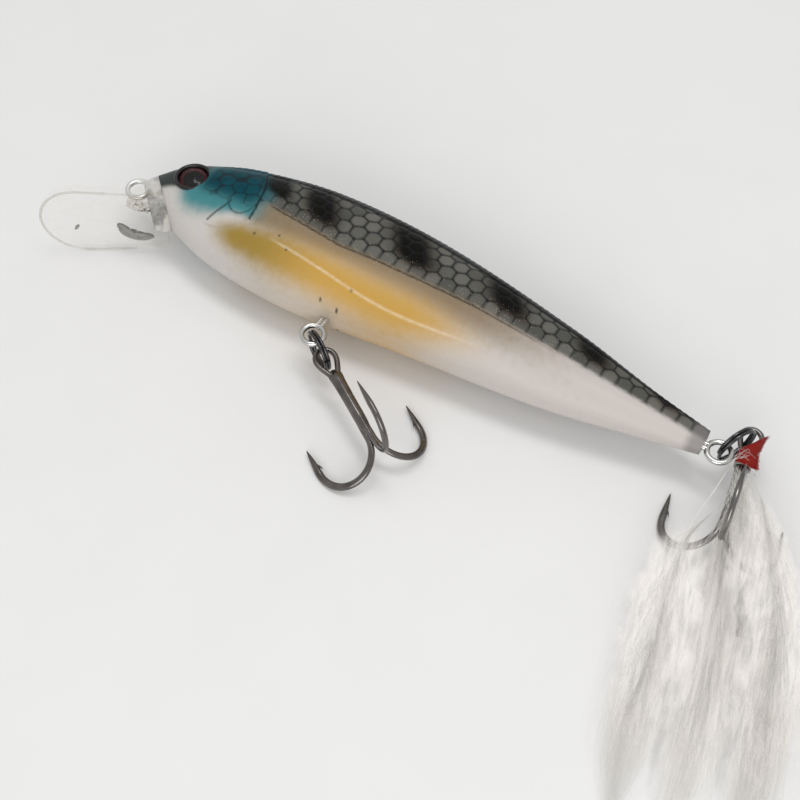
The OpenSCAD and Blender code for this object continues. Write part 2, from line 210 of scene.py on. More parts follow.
class Look:
    """A Principled material with short ways to add nodes to it."""

    def __init__(self, name, color=(0.8, 0.8, 0.8), **sockets):
        self.material = bpy.data.materials.new(name)
        self.material.use_nodes = True
        self.nodes = self.material.node_tree.nodes
        self.links = self.material.node_tree.links
        self.shader = self.nodes["Principled BSDF"]
        self.set(Base_Color=color, **sockets)
        self.coordinates = self.nodes.new("ShaderNodeTexCoord").outputs["Object"]

    def set(self, **sockets):
        for name, value in sockets.items():
            self.feed(self.shader.inputs[name.replace("_", " ")], value)

    def feed(self, socket, value):
        if isinstance(value, bpy.types.NodeSocket):
            self.links.new(value, socket)
        elif hasattr(socket.default_value, "__len__") and len(socket.default_value) == 4:
            socket.default_value = (*value[:3], 1)
        else:
            socket.default_value = value

    def add(self, kind, inputs=(), **settings):
        node = self.nodes.new("ShaderNode" + kind)
        for name, value in settings.items():
            setattr(node, name, value)
        for key, value in inputs:
            self.feed(node.inputs[key], value)
        return node

    def math(self, operation, *values):
        return self.add("Math", enumerate(values), operation=operation).outputs[0]

    def times(self, a, b):
        return self.math("MULTIPLY", a, b)

    def mix(self, factor, a, b):
        return self.add("Mix", ((0, factor), (6, a), (7, b)), data_type="RGBA").outputs[2]

    def step(self, value, low, high):
        """0 below low, 1 above high, smooth between."""
        ends = enumerate((value, low, high, 0.0, 1.0))
        return self.add("MapRange", ends, interpolation_type="SMOOTHSTEP").outputs[0]

    def span(self, value, low, high):
        """Takes 0..1 to low..high."""
        return self.add("MapRange", enumerate((value, 0.0, 1.0, low, high))).outputs[0]

    def noise(self, scale, detail=4.0, stretch=None):
        """Noise with features of about 1 / scale metres."""
        source = self.coordinates
        if stretch:
            source = self.add("Mapping", (("Vector", source), ("Scale", stretch))).outputs[0]
        inputs = (("Vector", source), ("Scale", scale), ("Detail", detail))
        return self.add("TexNoise", inputs).outputs["Fac"]

    def cells(self, scale):
        inputs = (("Vector", self.coordinates), ("Scale", scale))
        return self.add("TexVoronoi", inputs).outputs["Distance"]

    def mask(self, name):
        return self.add("Attribute", attribute_name=name).outputs["Fac"]

    def bump(self, height, strength, distance):
        inputs = (("Strength", strength), ("Distance", distance), ("Height", height))
        self.set(Normal=self.add("Bump", inputs).outputs[0])


def paint_look():
    """Pearl belly, amber flank, teal cheek and a dark scaled back under clear gloss."""
    look = Look("body_paint", Roughness=0.38, Specular_IOR_Level=0.06, Coat_Weight=0.08, Coat_Roughness=0.10)
    spray = look.span(look.noise(900, 5), -0.10, 0.10)
    grain = look.noise(5200, 2)

    def sprayed(name, low=0.0, high=1.0):
        return look.step(look.math("ADD", look.mask(name), spray), low, high)

    pearl = look.mix(grain, tint(186, 181, 176), tint(206, 202, 198))
    color = look.mix(look.mask("rear"), pearl, tint(196, 189, 184))
    color = look.mix(sprayed("haze"), color, tint(132, 115, 92))
    amber = look.mix(look.mask("early"), tint(192, 152, 78), tint(150, 124, 58))
    color = look.mix(sprayed("amber"), color, amber)
    scale_tone = look.mix(grain, tint(62, 63, 60), tint(84, 84, 79))
    back = look.mix(look.mask("tone"), scale_tone, tint(110, 108, 101))
    back = look.mix(look.mask("strip"), back, tint(40, 43, 43))
    color = look.mix(sprayed("back"), color, back)
    color = look.mix(sprayed("teal"), color, tint(68, 130, 135))
    color = look.mix(sprayed("deep"), color, look.mix(look.noise(420, 3), tint(0, 38, 48), tint(0, 78, 90)))
    color = look.mix(sprayed("snout"), color, tint(58, 64, 61))
    color = look.mix(sprayed("umber"), color, tint(58, 42, 28))
    color = look.mix(sprayed("bar"), color, tint(6, 5, 3))
    color = look.mix(look.mask("ink"), color, tint(22, 25, 26))
    # Painted highlight: a pale line along the crease of the flank, broken up by noise
    streak = look.times(look.mask("painted_highlight"), look.span(look.noise(1500, 3), 0.1, 1.5))
    color = look.mix(streak, color, tint(240, 228, 206))
    # Painted shade: a grey patch round the belly hanger where its wire enters the body
    color = look.mix(sprayed("hanger_shade"), color, tint(122, 117, 108))
    color = look.mix(look.mask("end"), color, tint(120, 117, 116))
    # Painted glints: pale dots along the scale border in place of the pearl's sparkle
    painted_glints = look.times(look.step(look.cells(2600), 0.16, 0.06),
                      look.mask("sparkle"))
    color = look.mix(painted_glints, color, tint(222, 208, 186))
    look.set(Base_Color=color)
    look.bump(grain, 0.25, 0.00003)
    return look.material


def clear_look():
    """Almost invisible clear plastic that shows only at its edges."""
    look = Look("clear_plastic", color=tint(222, 216, 202), IOR=1.45, Specular_IOR_Level=0.35)
    rim = look.step(look.add("LayerWeight", (("Blend", 0.35),)).outputs["Facing"], 0.45, 1.0)
    haze = look.noise(500, 4)
    look.set(Roughness=look.span(look.noise(700, 3, (1, 6, 1)), 0.01, 0.10))
    look.set(Alpha=look.math("MAXIMUM", look.times(rim, 0.32), look.span(haze, 0.0, 0.14)))
    look.bump(look.noise(240, 2), 0.2, 0.0001)
    return look.material


def glue_look(name, dark, light, cover, scale=1300, stretch=None):
    """Cloudy glue, and the painted glints and painted shade, seen through the clear root; cover is how much
    of it hides what lies behind.
    """
    look = Look(name, Roughness=0.15, IOR=1.45)
    cloud = look.noise(scale, 4, stretch)
    soft = look.step(look.mask("soft"), 0.0, 0.8)
    look.set(Base_Color=look.mix(look.step(cloud, 0.42, 0.58), dark, light))
    look.set(Alpha=look.times(look.times(look.step(cloud, 0.25, 0.60), cover), soft))
    look.bump(cloud, 0.4, 0.0001)
    return look.material


def metal_look(name, dark, light, rough, streak=None):
    """Plated or drawn metal with fine streaks and small dull patches."""
    look = Look(name, Metallic=1.0)
    patches = look.noise(420, 4)
    fine = look.noise(3000, 3, streak)
    look.set(Base_Color=look.mix(patches, dark, light))
    look.set(Roughness=look.span(look.times(patches, fine), rough * 0.6, rough * 2.2))
    look.bump(fine, 0.25, 0.00003)
    return look.material


def iris_look(side):
    """Dark red foil with a black pupil and rim, round the eye's centre."""
    look = Look("iris_left" if side > 0 else "iris_right", Roughness=0.25, Metallic=0.3)
    centre = row(EYE_AT[0], EYE_AT[1], side * EYE_FLOOR) * MM
    away = look.add("VectorMath", ((0, look.coordinates), (1, centre)), operation="DISTANCE")
    out = look.math("DIVIDE", away.outputs["Value"], EYE_RADIUS * MM)
    red = look.mix(look.noise(2500, 3), (0.05, 0.004, 0.006), (0.17, 0.012, 0.018))
    color = look.mix(look.step(out, 0.60, 0.68), (0.004, 0.004, 0.004), red)
    color = look.mix(look.step(out, 0.80, 0.90), color, (0.004, 0.004, 0.004))
    look.set(Base_Color=color)
    return look.material


def lens_look():
    look = Look("eye_gloss", color=(0.9, 0.88, 0.86), Roughness=0.02, IOR=1.5, Transmission_Weight=1.0)
    look.set(Alpha=0.22, Coat_Weight=0.6, Coat_Roughness=0.02)
    look.bump(look.noise(300, 2), 0.08, 0.00005)
    return look.material


def fibre_look(name, dark, light, sheer=0.0):
    """Soft fibre that lets light through; sheer is the share that is not seen at all."""
    look = Look(name, Roughness=0.75, Specular_IOR_Level=0.2)
    tone = look.noise(260, 3)
    color = look.mix(tone, dark, light)
    look.set(Base_Color=color, Sheen_Weight=0.3, Sheen_Roughness=0.5)
    thin = look.add("BsdfTranslucent", (("Color", color),))
    both = look.add("MixShader", ((0, 0.45), (1, look.shader.outputs[0]), (2, thin.outputs[0])))
    unseen = look.add("BsdfTransparent")
    veil = look.add("MixShader", ((0, sheer), (1, both.outputs[0]), (2, unseen.outputs[0])))
    look.links.new(veil.outputs[0], look.nodes["Material Output"].inputs["Surface"])
    return look.material


# ---- The body's surface ----

def along(x, column):
    """Smooth value of a station column at x millimetres from the nose."""
    s = STATIONS
    u = np.asarray(x, float) / BODY_LEN
    i = np.clip(np.searchsorted(s[:, 0], u, side="right") - 1, 0, len(s) - 2)

    def slope(k):
        a, b = np.maximum(k - 1, 0), np.minimum(k + 1, len(s) - 1)
        return (s[b, column] - s[a, column]) / (s[b, 0] - s[a, 0])

    h = s[i + 1, 0] - s[i, 0]
    t = (u - s[i, 0]) / h
    return (s[i, column] * (2 * t ** 3 - 3 * t ** 2 + 1) + s[i + 1, column] * (3 * t ** 2 - 2 * t ** 3)
            + h * slope(i) * (t ** 3 - 2 * t ** 2 + t) + h * slope(i + 1) * (t ** 3 - t ** 2))


def section(x, angle):
    """y and z on the left flank at x, for an angle from the back (0) to the belly (pi)."""
    top, low, half = along(x, 1), along(x, 2), along(x, 3)
    power = 2 / SECTION_POWER
    c, s = np.cos(angle), np.sin(angle)
    y = (top + low) / 2 + (top - low) / 2 * np.sign(c) * np.abs(c) ** power
    return y, half * np.abs(s) ** power


def smooth(low, high, v):
    t = np.clip((v - low) / (high - low), 0, 1)
    return t * t * (3 - 2 * t)


# Distance round the skin from the back, for any x and angle
ARC_X = np.linspace(0, BODY_LEN, 401)
ARC_ANGLE = np.linspace(0, pi, 361)
arc_y, arc_z = section(ARC_X[:, None], ARC_ANGLE[None, :])
ARC = np.concatenate([np.zeros((len(ARC_X), 1)),
                      np.cumsum(np.hypot(np.diff(arc_y, axis=1), np.diff(arc_z, axis=1)), axis=1)], axis=1)


def arc_length(x, angle):
    """Distance from the back seam round the skin, and the whole way to the belly seam."""
    i = np.clip(x / BODY_LEN * (len(ARC_X) - 1), 0, len(ARC_X) - 1.001)
    j = np.clip(angle / pi * (len(ARC_ANGLE) - 1), 0, len(ARC_ANGLE) - 1.001)
    i0, j0 = i.astype(int), j.astype(int)
    fi, fj = i - i0, j - j0
    s = ((ARC[i0, j0] * (1 - fj) + ARC[i0, j0 + 1] * fj) * (1 - fi)
         + (ARC[i0 + 1, j0] * (1 - fj) + ARC[i0 + 1, j0 + 1] * fj) * fi)
    return s, ARC[i0, -1] * (1 - fi) + ARC[i0 + 1, -1] * fi


def angle_at(x, y):
    """Section angle of a skin point from its x and y."""
    top, low = along(x, 1), along(x, 2)
    v = np.clip((y - (top + low) / 2) / ((top - low) / 2), -1, 1)
    return np.arccos(np.clip(np.sign(v) * np.abs(v) ** (SECTION_POWER / 2), -1, 1))


# ---- Drawn lines and scales, in side view (x, y) ----

BORDER = ((20, 2.2), (25, 1.4), (36, 0.3), (46, 0.9), (60, 1.4), (71, 1.0), (85, 0.4), (100, -0.3))
LINES = {
    "gill": ((18.0, 7.6), (19.0, 6.1), (19.9, 4.0), (20.4, 1.8), (20.8, -0.4), (20.9, -2.1)),
    "cheek_front": ((14.3, -4.6), (15.0, -3.1), (15.7, -1.7), (16.2, -0.2)),
    "cheek_rear": ((15.9, -0.5), (16.9, -1.6), (18.3, -2.0), (19.4, -1.6), (20.2, -0.6), (20.5, 0.8)),
    "jaw": ((13.9, -5.2), (16.6, -5.2), (19.0, -4.0), (20.9, -2.1)),
}
# Pale line painted along a crease as a painted highlight: its level, and the place, depth and reach of its
# dip
SHINE_LEVEL = -3.4
SHINE_MIDDLE = 47
SHINE_DIP = 2.0
SHINE_REACH = 16
SCALE_PITCH = 2.6
ROW_PITCH = 2.3
STRIP_SHARE = 0.23
# Place and width of each dark bar
BARS = ((20.9, 7.0, 2.9), (29.0, 7.0, 3.3), (45.6, 7.3, 3.8),
        (63.5, 5.8, 3.5), (79.5, 3.8, 2.8), (92.5, 2.6, 2.2))
BAR_SLANT = 0.6
# Chips and specks of dirt in the paint
SPECKS = ((23.0, -3.9), (27.0, -2.7), (29.2, -4.2), (41.8, -5.3), (48.0, 2.6), (37.6, -7.9), (40.6, -8.0))


def line_distance(x, y, points):
    """Distance to a curve through the points, and which side of it a point lies on."""
    curve = smooth_path(points, 8)
    best = np.full(x.shape, 99.0)
    side = np.zeros(x.shape)
    for a, b in zip(curve[:-1], curve[1:]):
        d = b - a
        t = np.clip(((x - a[0]) * d[0] + (y - a[1]) * d[1]) / (d @ d), 0, 1)
        ex, ey = x - a[0] - t * d[0], y - a[1] - t * d[1]
        e = np.hypot(ex, ey)
        closer = e < best
        best = np.where(closer, e, best)
        side = np.where(closer, np.sign(d[0] * ey - d[1] * ex), side)
    return best, side


def border_y(x):
    b = np.array(BORDER)
    return np.interp(x, b[:, 0], b[:, 1])


def scale_cells(x, rise):
    """Rounded scales on a staggered lattice: distance in from the edge, and a random tone for each."""
    row_index = np.round(rise / ROW_PITCH - 0.5)
    nearest = np.full(x.shape, 99.0)
    second = np.full(x.shape, 99.0)
    tone = np.zeros(x.shape)
    for dr in (-1, 0, 1):
        r = row_index + dr
        shift = np.where(np.mod(r, 2) > 0.5, SCALE_PITCH / 2, 0.0)
        column = np.round((x - shift) / SCALE_PITCH)
        for dc in (-1, 0, 1):
            c = column + dc
            seed = np.sin(r * 127.1 + c * 311.7) * 43758.5453
            jitter = seed - np.floor(seed)
            other = np.abs(np.sin(r * 53.3 + c * 97.9))
            loose = 0.08 + 0.50 * smooth(24, 15, x)
            cx = c * SCALE_PITCH + shift + (jitter - 0.5) * loose * 2
            cy = (r + 0.5) * ROW_PITCH + (other - 0.5) * loose * 2
            d = np.hypot(x - cx, (rise - cy) * 1.08)
            second = np.where(d < nearest, nearest, np.minimum(second, d))
            tone = np.where(d < nearest, jitter, tone)
            nearest = np.minimum(nearest, d)
    return np.minimum((second - nearest) / 2, 1.46 - nearest), tone


def skin_fields(x, y, angle):
    """Everything that is drawn on or pressed into the skin, at points of one flank."""
    s, whole = arc_length(x, angle)
    share = s / np.maximum(whole, 0.01)
    border_arc, _ = arc_length(x, angle_at(x, border_y(x)))
    rise = border_arc - s
    edge, tone = scale_cells(x, rise)
    strip = smooth(STRIP_SHARE + 0.012, STRIP_SHARE - 0.012, share) * smooth(8, 14, x)
    scaled = smooth(-0.15, 0.15, rise) * smooth(21.2, 22.6, x) * (1 - strip)
    head_cells = smooth(-1.2, 1.0, y) * smooth(9.5, 11.5, x) * smooth(21.4, 20.8, x) * (1 - strip)
    f = {"x": x, "y": y, "s": s, "share": share, "rise": rise, "edge": edge, "tone": tone,
         "strip": strip, "scaled": scaled, "head_cells": head_cells}
    for name, line in LINES.items():
        f[name], f[name + "_side"] = line_distance(x, y, line)
    return f


def plate_step(distance, side, height, reach):
    """A plate that ends in a step: raised on the positive side of its line and fading away from it."""
    raised = np.where(side > 0, height * np.exp(-distance / reach), 0.0)
    return raised - 0.04 * np.exp(-(distance / 0.14) ** 2)


def relief(f):
    """Height of the moulded detail above the plain body, in millimetres."""
    pressed = f["scaled"] + 0.25 * f["head_cells"]
    h = pressed * (0.09 * smooth(0.0, 0.35, f["edge"]) - 0.05) - 0.13
    faded = smooth(84, 70, f["x"]) * smooth(21.5, 23, f["x"])
    beads = 0.5 + 0.5 * np.cos(2 * pi * f["x"] / 1.3)
    h += faded * (0.11 * beads * np.exp(-((f["rise"] - 0.15) / 0.2) ** 2)
                  - 0.10 * np.exp(-((f["rise"] + 0.12) / 0.13) ** 2))
    ridge = np.exp(-((f["share"] - STRIP_SHARE) * 60) ** 2) * smooth(8, 14, f["x"])
    serration = 0.5 + 0.5 * np.cos(2 * pi * f["x"] / 1.1)
    h += f["strip"] * (0.10 + 0.06 * serration * smooth(0.0, 0.12, f["share"])) - 0.08 * ridge
    h += plate_step(f["gill"], f["gill_side"] * -1, 0.22, 3.0)
    h += plate_step(f["cheek_front"], f["cheek_front_side"], 0.12, 1.6)
    h += plate_step(f["cheek_rear"], f["cheek_rear_side"], 0.14, 1.4)
    h += plate_step(f["jaw"], f["jaw_side"], 0.08, 1.2)
    return h


def paint_masks(f):
    """The sprayed colours as masks from 0 to 1, and the ink of the scale outlines."""
    x, y = f["x"], f["y"]
    m = {}
    over = y - border_y(x)
    m["haze"] = smooth(-5.5, -0.5, y) * smooth(88, 55, x) * smooth(17, 23, x) * 0.9
    centre = -5.4 + 0.3 * smooth(18, 34, x) + 1.0 * smooth(44, 62, x)
    width = 1.7 + 1.7 * smooth(16, 30, x) * smooth(76, 46, x)
    m["amber"] = np.exp(-((y - centre) / (width + 0.3)) ** 2) * smooth(12.5, 21.0, x) * smooth(72, 48, x)
    m["back"] = smooth(-0.5, 0.9, over) * smooth(17, 21, x)
    m["tone"] = (0.15 + 0.75 * f["tone"]) * smooth(0.05, 0.5, f["edge"])
    m["strip"] = f["strip"]
    behind = np.where(f["gill_side"] > 0, smooth(5.5, -1.0, f["gill"]) * 0.7, 1.0) * smooth(27, 20, x)
    rear_cheek = smooth(12, 19, x)
    low = smooth(-6.4 + 3.0 * rear_cheek, -1.2 + 0.5 * rear_cheek, y)
    m["teal"] = low * smooth(3.6, 8.8, x + 0.45 * y) * behind
    m["deep"] = smooth(-2.4, 2.6, y) * smooth(7.0, 11.0, x) * smooth(24.5, 17.5, x)
    m["snout"] = smooth(-3.2, -1.4, y - 0.30 * x) * smooth(10.5, 7.0, x)
    m["snout"] = np.maximum(m["snout"], smooth(6.0, 8.6, y) * smooth(14, 8, x))
    bar = np.zeros(x.shape)
    for bx, by, width in BARS:
        q = x - bx - BAR_SLANT * (by - y)
        bar = np.maximum(bar, np.exp(-(q / width) ** 2))
    m["bar"] = bar ** 1.2 * smooth(0.8, 3.6, over) * smooth(16, 20, x) * 1.2
    m["umber"] = bar ** 0.8 * smooth(0.2, 2.4, over) * smooth(24, 28, x) * 0.7
    drawn = np.clip(f["scaled"] * smooth(-0.2, 1.8, f["rise"]) + 0.75 * f["head_cells"], 0, 1)
    ink = 0.9 * smooth(0.17, 0.04, f["edge"]) * drawn
    border_line = smooth(0.22, 0.05, np.abs(f["rise"] + 0.10)) * smooth(78, 60, x) * smooth(21.5, 24, x)
    ink = np.maximum(ink, 0.85 * border_line)
    for name, weight in (("gill", 0.9), ("cheek_front", 0.8), ("cheek_rear", 0.55), ("jaw", 0.10)):
        ink = np.maximum(ink, weight * smooth(0.24, 0.06, f[name]))
    # Painted shade: a dark line in the groove at the edge of the back strip
    ridge = np.exp(-((f["share"] - STRIP_SHARE) * 70) ** 2) * smooth(20, 26, x)
    m["ink"] = np.maximum(ink, 0.8 * ridge)
    m["rear"] = smooth(50, 75, x)
    # Painted shade round the belly hanger
    round_hanger = np.hypot(x - BELLY_AT[0] - 0.4, y + 9.6)
    m["hanger_shade"] = 0.65 * np.exp(-(round_hanger / 1.3) ** 2)
    speck = np.full(x.shape, 9.0)
    for sx, sy in SPECKS:
        speck = np.minimum(speck, np.hypot(x - sx, y - sy))
    m["ink"] = np.maximum(m["ink"], 0.8 * smooth(0.30, 0.12, speck))
    # Painted highlight along the crease of the flank
    shine_line = SHINE_LEVEL - SHINE_DIP * np.exp(-((x - SHINE_MIDDLE) / SHINE_REACH) ** 2)
    painted_highlight_line = smooth(0.30, 0.05, np.abs(y - shine_line))
    m["painted_highlight"] = 0.42 * painted_highlight_line * smooth(25, 29, x) * smooth(66, 54, x)
    m["early"] = smooth(38, 22, x)
    m["end"] = 0.7 * smooth(96.8, 98.6, x)
    # Where the painted glints go
    m["sparkle"] = smooth(3.4, 0.3, np.abs(f["rise"] - 0.8)) * smooth(21, 24, x) * smooth(90, 70, x)
    return m


def body_half(side, paint):
    """One shell: the skin with its moulded detail, closed at the seam and cut at the chin and the eye
    socket.
    """
    columns, rows_of_skin = 480, 128
    x = np.linspace(0, 1, columns + 1) ** 1.08 * BODY_LEN
    steps = np.linspace(0, 1, rows_of_skin + 1)
    grid_x = np.repeat(x[:, None], rows_of_skin + 1, 1)
    angle = np.empty_like(grid_x)
    for i, xi in enumerate(x):
        arc = arc_length(np.full(ARC_ANGLE.shape, xi), ARC_ANGLE)[0]
        angle[i] = np.interp(steps * arc[-1], arc, ARC_ANGLE)
    y, z = section(grid_x, angle)
    p = np.stack([grid_x, y, z], -1)
    normal = np.cross(np.gradient(p, axis=1), np.gradient(p, axis=0))
    normal /= np.linalg.norm(normal, axis=2)[..., None] + 1e-9
    normal[:, 0], normal[:, -1] = (0, 1, 0), (0, -1, 0)
    p += normal * relief(skin_fields(grid_x, y, angle))[..., None]
    p[:, 0, 2] = p[:, -1, 2] = 0
    p[..., 2] *= side
    n = rows_of_skin + 1
    faces = []
    for i in range(columns):
        for k in range(rows_of_skin):
            a = i * n + k
            quad = (a, a + 1, a + 1 + n, a + n)
            faces.append(quad if side > 0 else quad[::-1])
        seam = (i * n + n - 1, i * n, (i + 1) * n, (i + 1) * n + n - 1)
        faces.append(seam if side > 0 else seam[::-1])
    for end, order in ((0, -1), (columns, 1)):
        cap = [end * n + k for k in range(n)][::order]
        faces.append(tuple(cap if side > 0 else cap[::-1]))
    name = "painted_shell_left" if side > 0 else "painted_shell_right"
    piece = new_piece(name, rows(p.reshape(-1, 3)), faces, "lure_body", paint)
    cut(piece, chin_block())
    cut(piece, cylinder(row(*EYE_AT, side * EYE_FLOOR), (0, 0, side), EYE_RADIUS + 0.05, 6))
    co = np.array([v.co for v in piece.data.vertices]) / MM - np.array(place)
    vx, vy = np.clip(co[:, 0], 0.01, BODY_LEN - 0.01), co[:, 1]
    for key, values in paint_masks(skin_fields(vx, vy, angle_at(vx, vy))).items():
        store(piece, key, values, 1.2)
    piece.data.set_sharp_from_angle(angle=radians(50))
    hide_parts("body_half_left" if side > 0 else "body_half_right")
    return piece


def solid(points, faces):
    """A scratch solid for cutting, from points in row millimetres."""
    thing = mesh_object("cutter", points, faces)
    bm = bmesh.new()
    bm.from_mesh(thing.data)
    bmesh.ops.recalc_face_normals(bm, faces=bm.faces)
    bm.to_mesh(thing.data)
    bm.free()
    return thing


def cylinder(base, direction, radius, length, sides=48):
    d = Vector(direction).normalized()
    u = d.orthogonal().normalized()
    v = d.cross(u)
    turn = turns(sides)
    skin = Skin()
    skin.loft([[tuple(c + radius * (cos(t) * u + sin(t) * v)) for t in turn]
               for c in (Vector(base), Vector(base) + d * length)])
    return solid(skin.points, skin.faces)


def chin_block():
    """Everything in front of the head's slanted cut face."""
    c, s = cos(CUT_SLOPE), sin(CUT_SLOPE)
    corners = [(-5, 0), (40, 0), (40, -20), (-5, -20)]
    flat = [(CUT_TOP[0] + a * c - b * s, CUT_TOP[1] + a * s + b * c) for a, b in corners]
    skin = Skin()
    skin.loft([rows((px, py, z) for px, py in flat) for z in (-20, 20)])
    return solid(skin.points, skin.faces)


def cut(piece, cutter):
    """Takes the cutter's volume out of the piece and removes the cutter."""
    modifier = piece.modifiers.new("cut", "BOOLEAN")
    modifier.operation = "DIFFERENCE"
    modifier.object = cutter
    modifier.solver = "MANIFOLD"
    graph = bpy.context.evaluated_depsgraph_get()
    made = bpy.data.meshes.new_from_object(piece.evaluated_get(graph))
    piece.modifiers.clear()
    old = piece.data
    piece.data = made
    bpy.data.meshes.remove(old)
    mesh = cutter.data
    bpy.data.objects.remove(cutter)
    bpy.data.meshes.remove(mesh)


# ---- Hooks and rings ----

def treble_matrix(at, direction, tilt):
    """From a treble's own axes (x along the shank from the eye) to row millimetres."""
    turn = Matrix.Rotation(radians(direction), 4, "Z") @ Matrix.Rotation(radians(tilt), 4, "Y")
    return Matrix.Translation(at) @ turn


def eye_height(tilt):
    """Height of a treble's eye over the table when its two lower bends rest on it."""
    t = radians(tilt)
    return (HOOK_SHANK * sin(t) + 0.5 * (BUNDLE + BEND) * cos(t)
            + BEND * hypot(sin(t), 0.5 * cos(t)) + HOOK_WIRE / 2 + 0.02)


BELLY_DIR, BELLY_TILT, BELLY_GAP = -32, 4, 4.35
TAIL_RING_DIR, TAIL_DIR, TAIL_TILT = 62, -82, 0
TAIL_GAP = sqrt((2 * RING_MEAN) ** 2 - (flank - eye_height(TAIL_TILT)) ** 2) + 0.8


def eye_at(hanger, direction, gap, tilt):
    a = radians(direction)
    p = row(hanger[0] + gap * cos(a), hanger[1] + gap * sin(a), 0)
    p.z = eye_height(tilt)
    return p


belly_treble = treble_matrix(eye_at(BELLY_AT, BELLY_DIR, BELLY_GAP, BELLY_TILT), BELLY_DIR, BELLY_TILT)
tail_treble = treble_matrix(eye_at(TAIL_AT, TAIL_RING_DIR, TAIL_GAP, TAIL_TILT), TAIL_DIR, TAIL_TILT)


def hook_points(start):
    """Shank, round bend and point leg of one hook in its own plane: x along the shank, r outwards."""
    shank = [(x, BUNDLE) for x in np.linspace(start, HOOK_SHANK, 10)[:-1]]
    bend = [(HOOK_SHANK + BEND * sin(t), BUNDLE + BEND - BEND * cos(t))
            for t in np.linspace(0, pi, 33)]
    leg = [(HOOK_SHANK - d, BUNDLE + 2 * BEND) for d in np.linspace(0, HOOK_POINT, 12)[1:]]
    return shank + bend + leg


def hook_radii(count):
    """Wire radius along a hook, forged wider in the bend, then a long needle point."""
    leg, bend = 12, 33
    shank = count - leg - bend
    taper = [0.60 * (1 - (k / leg) ** 1.5) + 0.015 for k in range(leg)]
    forged = [0.50 + 0.10 * sin(pi * min(1, k / bend * 1.6) / 2) for k in range(bend)]
    return [0.46] * shank + forged + taper


def hook_normal(angle):
    """Across the plane of the hook that stands at this angle round the shank."""
    return (0, -sin(angle), cos(angle))


def in_plane(points, angle):
    return [(x, r * cos(angle), r * sin(angle)) for x, r in points]


def add_barb(skin, angle):
    """The raised barb on the inner side of the point leg."""
    root = HOOK_SHANK - 1.3
    out = BUNDLE + 2 * BEND
    path = [(root + a, out - b) for a, b in ((-0.3, 0.15), (0.15, 0.46), (0.6, 0.78), (1.1, 1.0))]
    skin.tube(in_plane(path, angle), [0.28, 0.22, 0.12, 0.02], sides=8, up=hook_normal(angle), flat=0.7)


def add_hook(skin, start, angle):
    path = in_plane(hook_points(start), angle)
    skin.tube(path, hook_radii(len(path)), sides=16, up=hook_normal(angle), flat=0.8)
    add_barb(skin, angle)


def double_hook():
    """Two hooks and the pear-shaped eye, bent from one wire."""
    skin = Skin()
    for angle in (-30, 210):
        add_hook(skin, HOOK_EYE_RING + 1.5, radians(angle))
    half = ((4.4, 0.50), (3.2, 0.62), (2.1, 1.05), (1.05, 1.45), (0.0, 1.62), (-0.95, 1.33), (-1.52, 0.68))
    loop = [(x, y, 0) for x, y in half] + [(-1.68, 0, 0)] + [(x, -y, 0) for x, y in reversed(half)]
    skin.tube(smooth_path(loop, 5), HOOK_WIRE / 2, sides=14)
    return skin


def third_hook():
    """The third hook, brazed on behind the eye."""
    skin = Skin()
    add_hook(skin, HOOK_EYE_RING + 1.3, radians(90))
    return skin


def braze():
    """Metal that fills the shank between the three wires: broad and flat below the eye."""
    skin = Skin()
    rings = []
    turn = turns(24)
    for x, wide, tall in ((2.35, 0.35, 0.20), (2.7, 0.95, 0.42), (3.5, 1.15, 0.62),
                          (5.0, 1.05, 0.86), (8.0, 0.98, 0.92), (11.5, 0.95, 0.90),
                          (13.2, 0.86, 0.82), (14.4, 0.62, 0.60), (15.0, 0.30, 0.30)):
        rings.append([(x, wide * cos(a), tall * (0.72 * sin(a) + 0.28 * abs(sin(a)) ** 3 + 0.1))
                      for a in turn])
    fine = smooth_path([np.array(r).ravel() for r in rings], 5).reshape(-1, 24, 3)
    skin.loft([[tuple(q) for q in r] for r in fine])
    return skin


def treble(prefix, matrix, body, material):
    for part, skin, node in (("double_hook", double_hook(), "treble_double"),
                             ("third_hook", third_hook(), "treble_third")):
        piece = skin.piece(f"{prefix}_{part}", body, "hook_steel", material, matrix)
        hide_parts(f"{prefix}_{node}")
    skin = braze()
    skin.piece(f"{prefix}_braze", body, "hook_steel", material, matrix)


def split_ring(prefix, body, material):
    """Two turns of flattened wire with a step where each end stops."""
    low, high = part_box(f"{prefix}_split_ring")
    centre = (low + high) / 2 / MM
    direction = radians(BELLY_DIR if prefix == "belly" else TAIL_RING_DIR)
    across = Vector((-sin(direction), cos(direction), 0))
    level = Vector((cos(direction), sin(direction), 0))
    path = []
    rounds, steps = 1.94, 144
    for k in range(steps + 1):
        t = 2 * pi * rounds * k / steps + radians(200)
        share = k / steps
        offset = (smooth(0.40, 0.60, share) - 0.5) * RING_WIRE * 0.94
        around = cos(t) * level + Vector((0, 0, sin(t)))
        path.append(centre + RING_MEAN * around + across * float(offset))
    skin = Skin()
    radii = np.full(len(path), RING_WIRE / 2)
    radii[0] = radii[-1] = RING_WIRE * 0.40
    skin.tube(path, radii, sides=14, up=tuple(across), flat=0.92)
    piece = skin.piece(f"{prefix}_ring_coil", body, "black_ring", material)
    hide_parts(f"{prefix}_split_ring")


# ---- Details of the lip's root and the hanger ----

